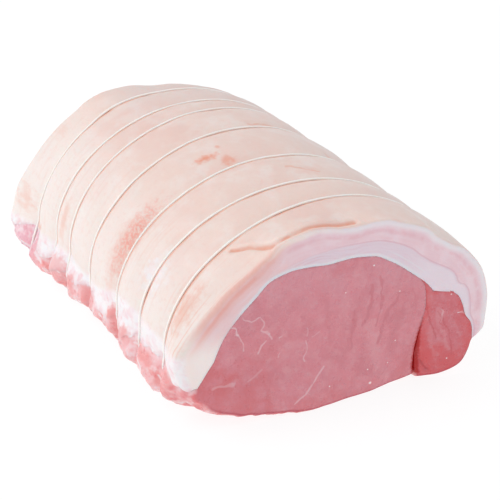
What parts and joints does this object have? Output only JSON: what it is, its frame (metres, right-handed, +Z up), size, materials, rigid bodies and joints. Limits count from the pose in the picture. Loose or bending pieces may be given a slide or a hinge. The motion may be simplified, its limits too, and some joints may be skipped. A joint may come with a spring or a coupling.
{
  "type": "pork loin joint",
  "caption": "Raw boneless rolled pork loin joint with a rind and fat cap over the loin eye and side muscle, cut flat at both ends and tied round with string.",
  "frame": {"origin": "on the surface the joint rests on, under the middle of its bounding box", "axes": "+X along the joint towards the cut end that shows the muscles, +Y across it towards the side muscle, +Z up"},
  "size_m": [0.1916, 0.1408, 0.0838],
  "materials": {
    "rind_and_fat": "raw pork rind, cream to pale pink with a soft satin skin, over white-pink fat",
    "loin_meat": "raw pork muscle, moist, pink with fine pale grain and thin white marbling",
    "side_meat": "raw pork muscle, moist, a little redder and darker than the loin eye",
    "twine": "twisted off-white cotton twine, matt"
  },
  "bodies": {
    "root": {"fat_cap": "rind_and_fat", "loin_eye": "loin_meat", "side_muscle": "side_meat", "string_1": "twine", "string_2": "twine", "string_3": "twine", "string_4": "twine", "string_5": "twine", "string_6": "twine", "string_7": "twine"}
  },
  "joints": []
}
